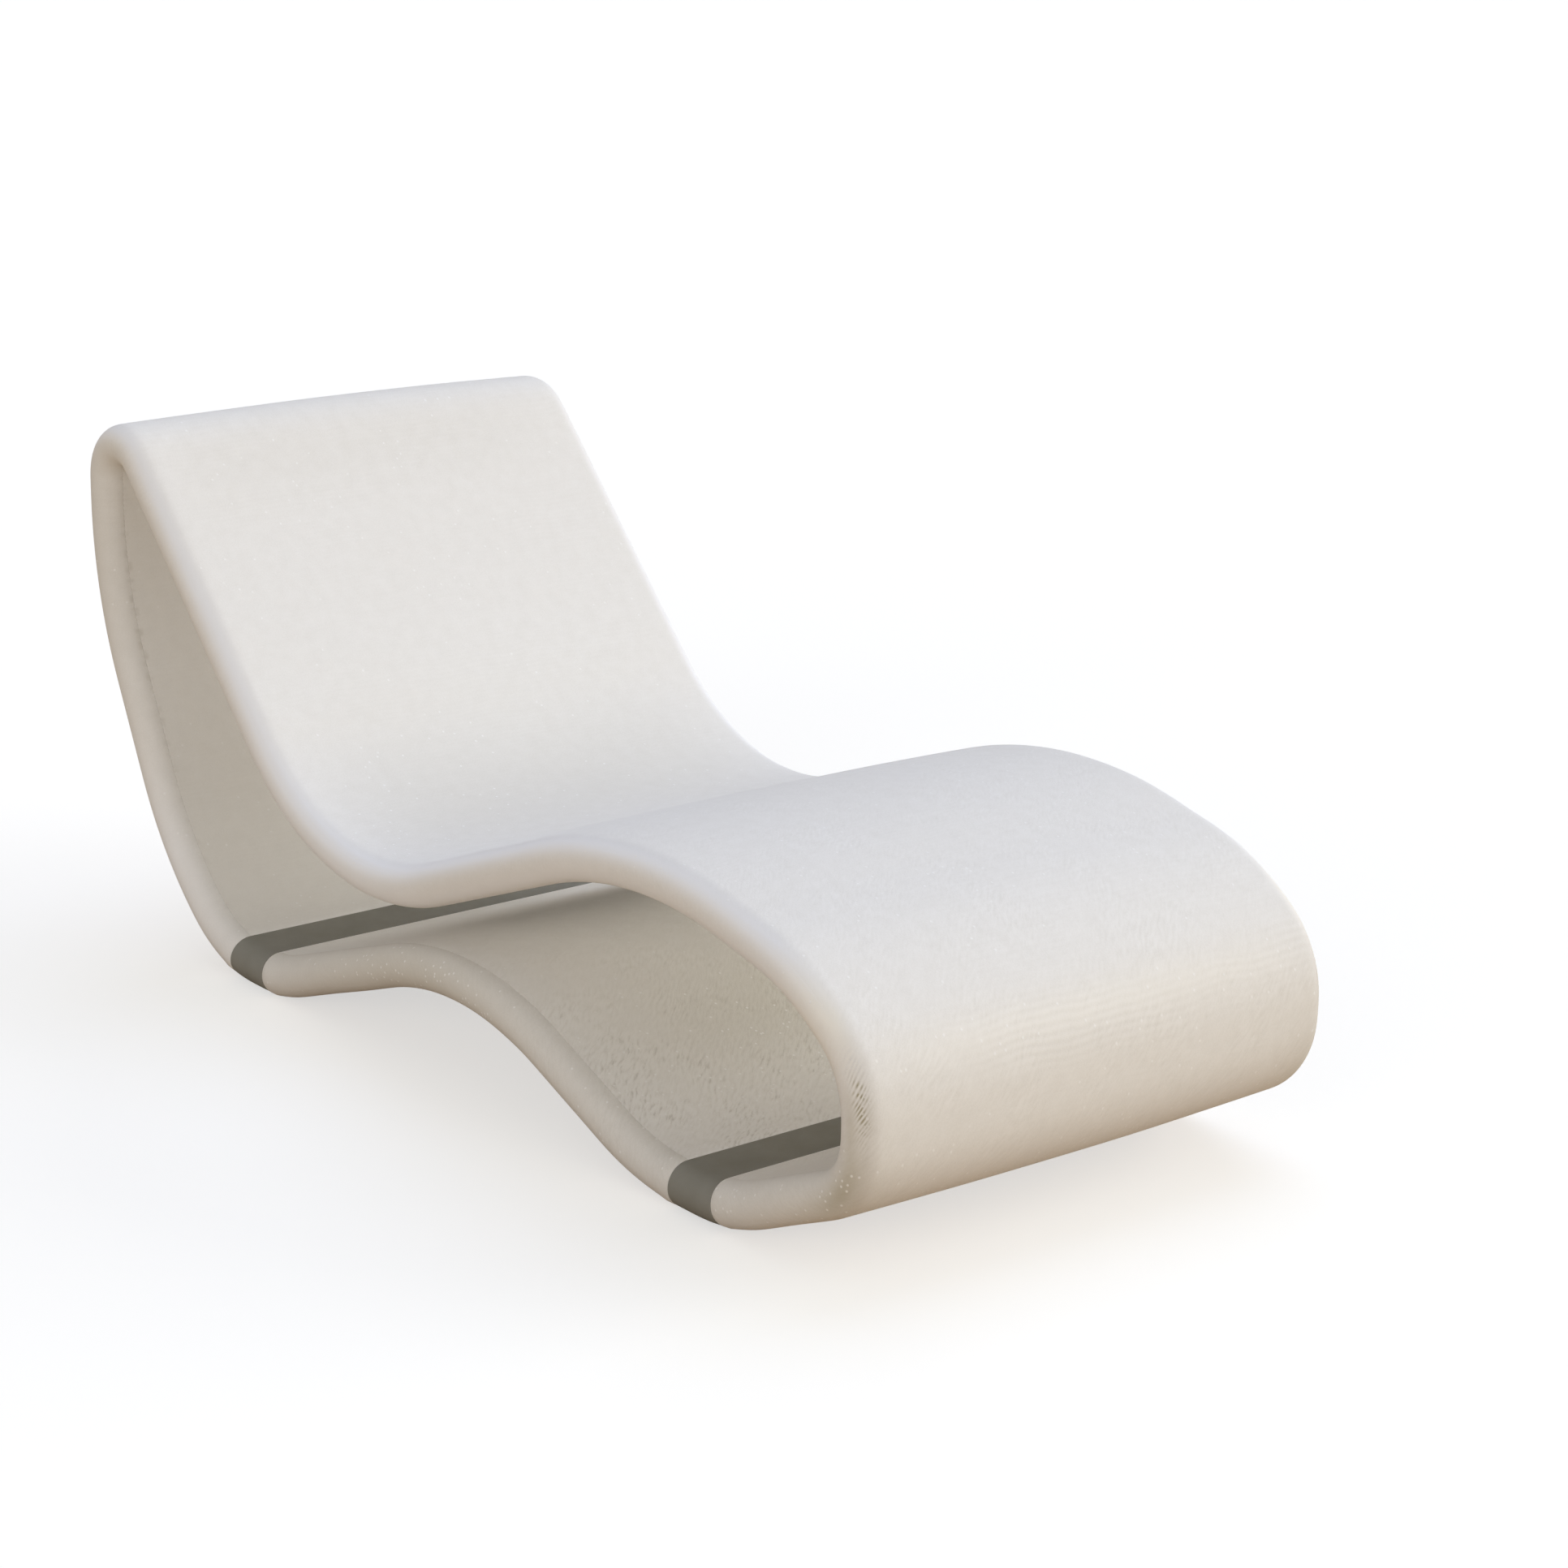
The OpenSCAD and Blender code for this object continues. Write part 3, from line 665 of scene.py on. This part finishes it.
def gathers(s, u, v):
    """Gathers on the round edges of the foot end: waves across the edge, slanted along it, which fade out
    around the middle of the bend, and below them a soft crease that runs down the edge.
    Height = h (cos(2 pi (s - slant r a) / pitch + wobble) - 1/4) patch(s, r a) - crease, with the angle a
    and a slant that falls along s. The second result is soil and painted light: painted shade in the folds,
    brown stains with painted shade on the side below them and under the nose, and painted shade in the seat
    hollow and below the head. Below 0 it stands for painted highlights, on the ridges and on the brow of the
    foot end."""
    reach = SKIN * edge_angle(u, v) + np.where(u > 0, np.clip(EDGE_V - abs(v), 0, None), 0)
    s, reach = s[:, None], reach[None, :]

    def patch(at, wide, up, high):
        return np.exp(-((s - at) / wide) ** 2 - ((reach - up) / high) ** 2)

    slant = np.clip(GATHER_SLANT - SLANT_FALL * (s - SLANT_AT), SLANT_LOW, SLANT_HIGH)
    wobble = waves(GATHER_WOBBLE, s, reach)
    wave = np.cos(2 * math.pi * (s - slant * reach) / GATHER_PITCH + wobble)
    here = patch(*GATHERED) * (0.65 + 0.35 * np.sin(330 * s + 260 * reach + 2 * np.sin(140 * s)))
    crease = stretch(s, *CREASE_STRETCH) * bell(reach, *CREASE_REACH)
    height = GATHER_HIGH * here * (wave - 0.25) - CREASE_DEEP * crease

    # Painted shade in the valleys of the folds, painted highlight on their ridges
    soil_and_painted_light = here * (0.15 + 1.5 * ((1 - wave) / 2) ** 2 - 0.6 * ((1 + wave) / 2) ** 3)
    # Brown stains with painted shade below the gathers and under the nose
    for amount, *place in STAINS_AND_SHADE:
        soil_and_painted_light = soil_and_painted_light + amount * patch(*place)
    # Painted shade in the seat hollow and below the head, painted highlight on the brow of the foot end
    painted_light = sum(amount * bell(s, *place) for amount, *place in PAINTED_LIGHT_ALONG)
    soil_and_painted_light = soil_and_painted_light + painted_light * np.clip(1 - (v / EDGE_V) ** 4, 0, 1)[None, :]
    return height, np.clip(soil_and_painted_light, MOST_PAINTED_HIGHLIGHT, MOST_SOIL_AND_SHADE)


# Painted light on the round edges at distances along the loop: painted shade above 0, painted highlight
# below 0
EDGE_LIGHT_AND_SHADE = (
    (0.0, 0.2), (0.13, 0.24), (0.35, 0.05), (0.48, 0.0), (0.72, 0.0), (0.8, 0.15), (0.91, 0.15), (1.05, 0.0),
    (1.18, 0.0), (1.32, -0.2), (1.49, -0.05), (1.62, 0.0), (1.8, -0.02), (2.0, 0.03), (2.2, 0.05),
    (2.38, -0.2), (2.6, -0.15), (2.8, -0.05), (3.0, 0.05), (3.2, 0.15), (3.48, 0.18), (3.72, 0.05),
    (3.94, -0.22), (4.08, -0.1), (4.25, 0.0), (4.4, 0.12),
)
# Painted highlight lines along the round edges, above their middle on the whole body and below it from the
# foot end
# to the seat: amount, stretch of the loop, and middle and spread of the angle in degrees
HIGHLIGHT_LINES = ((0.38, (1.22, 0.1, 3.2, 0.15), (45, 25)), (0.35, (1.22, 0.1, 2.55, 0.25), (-48, 30)))


def painted_edge_light(s, u, v):
    """Painted shade and highlight on the cover's round edges. Value = table(s) cos a, less for each painted
    highlight line amount stretch(s) bell(a), with the angle a."""
    at, amount = np.array(EDGE_LIGHT_AND_SHADE).T
    angle = np.degrees(edge_angle(u, v))[None, :]
    beyond = np.clip(abs(v) - EDGE_V, 0, None)[None, :] / SKIN
    s = s[:, None]
    # Painted shade and highlight from the table, then the painted highlight lines
    marked = np.interp(s, at, amount, period=loop.total) * beyond
    for painted_highlight, along, angles in HIGHLIGHT_LINES:
        marked = marked - painted_highlight * (stretch(s, *along) * bell(angle, *angles))
    return marked


def soft_swell(s, v):
    """Slow unevenness of the foam under the cover: a sum of slanted sine waves, 0.4 mm high."""
    return UNEVEN * waves(UNEVEN_WAVES, s[:, None], v[None, :]) / sum(wave[0] for wave in UNEVEN_WAVES)


def end_swell(end):
    """Rise of the padding beside a grip band: a low bell 14 mm from the cover's end."""
    return SWELL_RISE * bell(end, SWELL_AT, SWELL_SPREAD)


# Angles of the points on a round edge: close together where the gathers are
EDGE_ANGLES = np.concatenate([np.linspace(-90, 6, 13), np.linspace(10, 76, 31), [83, 90]])
COVER_STEP, LINING_STEP = 0.014, 0.012
# Stretches of the main cover with closer points: the crease and gathers of the foot end, and the head
FINE = (
    (1.045, 1.14, 0.0055), (1.14, 1.27, 0.0016), (loop.start["head_front"], loop.end["head_back"], 0.006),
)
# The base cover is made a little darker all over
BASE_DARKENING = 0.15


def cover(name, a, b, nodes, rests_on, dense=(), darkening=0.0):
    """The sewn cover over one stretch: the crowned section with round edges and turned-over hems, its hems
    and ends rounded inwards, pressed flat where it swells onto the floor (z = max(z, pressed)), and the
    same section 2 mm deeper as its inner side."""
    s = stations(a, b, COVER_STEP, dense, tuck=True)
    u, v = band_face(SKIN, EDGE_ANGLES, TURNOVER + CLOSED)
    width = section_length(u, v)
    hem = np.minimum(width, width[-1] - width)
    end = np.minimum(s - a, b - s)
    outward = crowned(s, u, v) + np.where(u > OUTER_SIDE, soft_swell(s, v), 0)
    sunk = np.maximum(tucked(hem, HEM_ROLL)[None, :], tucked(end, END_ROLL)[:, None])
    gathered, soil_and_painted_light = gathers(s, u, v)
    outer = carried(s, *pulled_in(outward, v, sunk - end_swell(end)[:, None] - gathered))
    outer[..., 2] = np.maximum(outer[..., 2], PRESSED)
    inner_u, inner_v = band_face(COVER_IN, EDGE_ANGLES, TURNOVER + CLOSED)
    inner = carried(s, crowned(s, inner_u, inner_v), inner_v[None, :])
    # Soil, painted shade and painted highlight of the cover: from the gathers, a little darker on the base,
    # and on the round edges
    soil_and_painted_light = soil_and_painted_light + darkening + painted_edge_light(s, u, v)
    attributes = (("hem", np.broadcast_to(hem, outer.shape[:2])), ("soil_and_painted_light", soil_and_painted_light))
    piece = wall(name, s, outer, inner, width, attributes=attributes)
    finish_piece(piece, COVER, nodes)
    return piece


BODY = ("foot", "leg", "seat", "back", "head", "wall")
BASE = ("wall", "base", "foot")
OUTER, INNER = "_outer_foam", "_inner_foam"
cover("sewn_cover_main", *MAIN, ["main_cover"], [part + OUTER for part in BODY], dense=FINE)
cover("sewn_cover_base", *UNDER, ["base_cover"], [part + OUTER for part in BASE], darkening=BASE_DARKENING)

# ---- Lining ----
# Places of points on half a lining: close to its edge in metres, and from there as shares of its width
LINING_NEAR = np.array([0, 0.0002, 0.0005, 0.001, 0.002, 0.005, 0.009, 0.014])
LINING_SHARES = np.array([0.9, 0.75, 0.6, 0.45, 0.3, 0.15])
# Painted shade on the lining: amount, with its stretch of the loop, or its middle and spread along and
# across
WALL_SHADE, WALL_FOOT = 0.15, (3.62, 0.4, 4.1, 0.1)
BASE_SHADE, BASE_ALONG, BASE_ACROSS = 0.42, (5.02, 0.16), (0, 0.3)


def lining_shade(s, v):
    """Painted shade on the lining: at the foot of the wall, and in the middle of the base behind the front
    grip band. A step up and down along s, plus a bell along s times a bell across v."""
    middle = bell(s, *BASE_ALONG)[:, None] * bell(v, *BASE_ACROSS)[None, :]
    return WALL_SHADE * stretch(s, *WALL_FOOT)[:, None] + BASE_SHADE * middle


def lining(name, a, b, nodes, rests_on):
    """The lining of the inner face over one stretch: a flat section between the two seams, its edges and
    ends rounded inwards, 2 mm thick."""
    s = stations(a, b, LINING_STEP, tuck=True)
    edge = EDGE_V - TURNOVER - SEAM_GAP + CLOSED
    half = np.concatenate([edge - LINING_NEAR, edge * LINING_SHARES])
    v = np.concatenate([half, [0], -half[::-1]])
    hem = np.minimum(v[0] - v, v - v[-1])
    end = np.minimum(s - a, b - s)
    sunk = np.maximum(tucked(hem, HEM_ROLL)[None, :], tucked(end, END_ROLL)[:, None])
    sunk = sunk - end_swell(end)[:, None]
    outer = carried(s, -(SKIN - sunk), v[None, :])
    inner = carried(s, np.full(sunk.shape, -COVER_IN), v[None, :])
    attributes = (("hem", np.broadcast_to(hem, outer.shape[:2])), ("soil_and_painted_light", lining_shade(s, v)))
    piece = wall(name, s, outer, inner, v - v[-1], attributes=attributes)
    finish_piece(piece, LINING, nodes)
    return piece


lining("sewn_lining_main", *MAIN, ["main_lining"], [part + INNER for part in BODY])
lining("sewn_lining_base", *UNDER, ["base_lining"], [part + INNER for part in BASE])

# ---- Seam stitches ----
STITCH, THREAD_R = 0.0046, 0.00045
STITCH_CLEAR = 0.01  # from the end of a seam to its first stitch
STITCH_SUNK = 0.0005  # how far the middle of a stitch lies below the face
STITCH_RINGS = STITCH_SIDES = 6
# Quads that close the first and the last ring
STITCH_CAPS = np.array([[0, 1, 2, 3], [0, 3, 4, 5], [33, 32, 31, 30], [35, 34, 33, 30]])


def stitches(name, a, b):
    """A row of stitches along both seams: each is an ellipsoid, long along the seam, whose rings of six
    points are placed as the section's points are."""
    count = int((b - a - 2 * STITCH_CLEAR) / STITCH_PITCH)
    middle = np.tile(a + STITCH_CLEAR + STITCH_PITCH * (np.arange(count) + 0.5), 2)[:, None, None]
    seam = np.repeat([1.0, -1.0], count)[:, None, None] * (EDGE_V - TURNOVER - SEAM_GAP / 2)
    along = np.cos(np.linspace(0, math.pi, STITCH_RINGS))[None, :, None]
    around = np.linspace(0, 2 * math.pi, STITCH_SIDES, endpoint=False)[None, None, :]
    reach = THREAD_R * np.sqrt(np.clip(1 - along ** 2, 0.0004, 1))
    s, u, v = np.broadcast_arrays(
        middle + STITCH / 2 * along,
        STITCH_SUNK - SKIN + reach * np.sin(around),
        seam + reach * np.cos(around),
    )
    points = carried(s.reshape(-1), u.reshape(-1, 1), v.reshape(-1, 1)).reshape(-1, 3)
    face = np.concatenate([grid_faces(STITCH_RINGS, STITCH_SIDES, True)[0], STITCH_CAPS])
    firsts = STITCH_RINGS * STITCH_SIDES * np.arange(2 * count)
    quads = (face[None] + firsts[:, None, None]).reshape(-1, 4)
    piece = mesh_piece(name, points, quads, points[quads][..., [0, 2]])
    piece.data.materials.append(THREAD)
    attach(piece, "root")
    return piece


stitches("seam_stitches_main", *MAIN)
stitches("seam_stitches_base", *UNDER)

# ---- Grip bands ----
GRIP_STEP = 0.006
RIM_ROLL = 0.0012


def grip_band(name, a, b, nodes):
    """A rubber band round the whole section: two flat faces and two round edges, its rims rounded."""
    s = stations(a, b, GRIP_STEP, tuck=True)
    u, v = band_face(SKIN, np.linspace(-90, 90, 26))
    u = np.concatenate([u, np.full(2 * len(HALF_FACE), -SKIN)])
    v = np.concatenate([v, -HALF_FACE, HALF_FACE[::-1]])
    rim = tucked(np.minimum(s - a, b - s), RIM_ROLL)[:, None]
    section = np.broadcast_to(u, (len(s), len(u)))
    outer = carried(s, *pulled_in(section, v, rim))
    inner = carried(s, *pulled_in(section, v, SKIN - COVER_IN))
    piece = wall(name, s, outer, inner, section_length(u, v), closed=True)
    return finish_piece(piece, RUBBER, nodes)


grip_band("moulded_grip_front", *FRONT_GRIP, ["front_grip_band"])
grip_band("moulded_grip_rear", *REAR_GRIP, ["rear_grip_band"])

# ---- Foam, slings and hoops inside the cover ----
MEET = 0.0004  # half the gap between two foam parts
INSIDE_STEP, TUBE_STEP = 0.014, 0.012
HOOK_ANGLE = 60  # degrees that the sling hooks under a hoop
TUBE_SIDES = 24
FOAM_PARTS = (
    ("head", HEAD_FROM, WALL_FROM), ("back", BACK_FROM, HEAD_FROM), ("seat", SEAT_FROM, BACK_FROM),
    ("leg", LEG_FROM, SEAT_FROM), ("foot", FRONT_JOINT, LEG_FROM),
    ("base", REAR_JOINT, FRONT_JOINT + loop.total), ("wall", WALL_FROM, REAR_JOINT),
)


def foam_part(name, a, b, side, nodes):
    """Moulded foam on one side of the sling: half of the band's section, from the mid-plane over the round
    edges, crowned on the outer side, with the hollow for hoops and sling."""
    s = stations(a + MEET, b - MEET, INSIDE_STEP)
    u, v = band_face(FOAM_OUT, np.linspace(1, 90, 12))
    inner_u, inner_v = band_face(FOAM_IN, np.linspace(1, 90, 12))
    rise = crowned(s, u, v) if side > 0 else u[None, :]
    outer = carried(s, side * rise, v[None, :])
    inner = carried(s, side * inner_u[None, :], inner_v[None, :])
    piece = wall(name, s, outer, inner, section_length(u, v))
    finish_piece(piece, FOAM, nodes)
    return piece


for label, start, stop in FOAM_PARTS:
    foam_part(label + OUTER, start, stop, 1, [label + "_pad"])
    foam_part(label + INNER, start, stop, -1, [label + "_liner"])


def sling(name, a, b, nodes):
    """Elastic webbing over the hoops: it hooks 60 degrees under each and lies straight between them."""
    s = stations(a, b, INSIDE_STEP)
    u, v = band_face(SLING_OUT, np.linspace(-HOOK_ANGLE, 90, 16))
    inner_u, inner_v = band_face(SLING_IN, np.linspace(-HOOK_ANGLE, 90, 16))
    width = section_length(u, v)
    outer = carried(s, u[None, :], v[None, :])
    inner = carried(s, inner_u[None, :], inner_v[None, :])
    piece = wall(name, s, outer, inner, width)
    finish_piece(piece, WEBBING, nodes)
    return piece


sling("hooked_sling_seat", LEG_FROM, HEAD_FROM, ["seat_sling"])
sling("hooked_sling_base", WALL_FROM, loop.start["nose_low"] + loop.total, ["base_sling"])


def hoop_tube(name, side, a, b, nodes):
    """Bent steel tube: a circle of 24 points carried along the loop under one round edge."""
    s = stations(a, b, TUBE_STEP)
    angle = np.linspace(0, 2 * math.pi, TUBE_SIDES, endpoint=False)
    outer, inner = (
        carried(s, r * np.sin(angle)[None, :], side * EDGE_V + r * np.cos(angle)[None, :])
        for r in (TUBE_OUT, TUBE_IN)
    )
    piece = wall(name, s, outer, inner, TUBE_OUT * angle, closed=True)
    return finish_piece(piece, PAINT, nodes)


for label, side in (("left", -1), ("right", 1)):
    hoop_tube(label + "_hoop_upper", side, FRONT_JOINT, REAR_JOINT, [label + "_upper_tube"])
    hoop_tube(label + "_hoop_base", side, REAR_JOINT, FRONT_JOINT + loop.total, [label + "_base_tube"])

# The rails and spigots keep their shape and get the frame's paint
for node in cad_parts.values():
    if not node.hide_render:
        node.data.materials.clear()
        node.data.materials.append(PAINT)

# ---- Floor, light and camera ----
FLOOR_HALF, FLOOR_POINTS = 60.0, 5
FLOOR_Z = -0.0002
FLOOR_BOUNCE, FLOOR_SEEN, FLOOR_LIFT = (0.45, 0.30, 0.15, 1), (0.57, 0.555, 0.515, 1), 0.58
SKY_LIGHT, SKY_SEEN = (0.36, 0.35, 0.35, 1), (1.0, 1.0, 1.0, 1)
SUN_SOFTNESS = 50  # degrees that a light is wide
# Lights: name, azimuth and elevation in degrees, power in red, green and blue
SUNS = (
    ("key_light", 60, 10, (2.33, 2.34, 2.26)),
    ("sky_light", 120, 60, (0.57, 0.71, 1.03)),
    ("fill_light", 300, 10, (1.25, 1.25, 1.24)),
)
CAMERA_YAW, CAMERA_PITCH, CAMERA_ROLL = 0.89153961, 0.28831262, 0.01752735
CAMERA_AT = (4.11232, -3.08962, 1.89811)
FOCAL_PIXELS, FRAME_PIXELS = 4600, 1932


def floor():
    """A plain pale floor: a square grid. It is evenly lit to the eye, and the light that it throws back on
    the object is warm and dim, as from the ground in the photograph."""
    n = np.linspace(-FLOOR_HALF, FLOOR_HALF, FLOOR_POINTS)
    x, y = np.meshgrid(n, n, indexing="ij")
    points = np.stack([x, y, np.full_like(x, FLOOR_Z)], axis=2).reshape(-1, 3)
    quads, row, column = grid_faces(FLOOR_POINTS, FLOOR_POINTS, False)
    piece = mesh_piece("floor", points, quads[:, ::-1], n[np.stack([row, column], axis=2)[:, ::-1]])
    made, t, both = material("pale_floor", "ShaderNodeAddShader")
    seen = t.seen_by_camera()
    matte = t.add("ShaderNodeBsdfDiffuse", {"Color": t.mix(seen, FLOOR_BOUNCE, FLOOR_SEEN)})
    lift = t.add("ShaderNodeEmission", {"Strength": t.times(seen, FLOOR_LIFT)})
    t.give(both, {0: matte.outputs[0], 1: lift.outputs[0]})
    piece.data.materials.append(made)
    return piece


def studio_sky():
    """Even grey light from all round, which the camera sees as white."""
    world = bpy.data.worlds.new("studio")
    bpy.context.scene.world = world
    world.use_nodes = True
    t = Tree(world.node_tree)
    t.give(world.node_tree.nodes["Background"], {0: t.mix(t.seen_by_camera(), SKY_LIGHT, SKY_SEEN)})


def soft_sun(name, azimuth, elevation, power):
    """A wide soft light from one direction. Its power in red, green and blue becomes a strength and a
    colour."""
    data = bpy.data.lights.new(name, "SUN")
    data.energy = max(power)
    data.color = [p / max(power) for p in power]
    data.angle = math.radians(SUN_SOFTNESS)
    a, e = math.radians(azimuth), math.radians(elevation)
    toward = Vector((math.cos(a) * math.cos(e), math.sin(a) * math.cos(e), math.sin(e)))
    light = bpy.data.objects.new(name, data)
    light.rotation_euler = toward.to_track_quat("Z", "Y").to_euler()
    bpy.context.scene.collection.objects.link(light)


def photo_camera():
    """The photograph's camera: its heading is turned from +Y towards -X by the yaw, it looks down by the
    pitch, and it is turned about its own axis by the roll."""
    cos_yaw, sin_yaw = math.cos(CAMERA_YAW), math.sin(CAMERA_YAW)
    cos_pitch, sin_pitch = math.cos(CAMERA_PITCH), math.sin(CAMERA_PITCH)
    ahead = Vector((-sin_yaw * cos_pitch, cos_yaw * cos_pitch, -sin_pitch))
    right = Vector((cos_yaw, sin_yaw, 0))
    up = right.cross(ahead)
    c, s = math.cos(CAMERA_ROLL), math.sin(CAMERA_ROLL)
    axes = Matrix((c * right + s * up, -s * right + c * up, -ahead)).transposed()
    data = bpy.data.cameras.new("photo_camera")
    data.lens = FOCAL_PIXELS / FRAME_PIXELS * data.sensor_width
    camera = bpy.data.objects.new("photo_camera", data)
    camera.matrix_world = Matrix.Translation(CAMERA_AT) @ axes.to_4x4()
    bpy.context.scene.collection.objects.link(camera)
    bpy.context.scene.camera = camera


floor()
studio_sky()
for sun in SUNS:
    soft_sun(*sun)
photo_camera()
view = bpy.context.scene.view_settings
view.view_transform, view.look, view.exposure, view.gamma = "Standard", "None", 0.0, 1.0
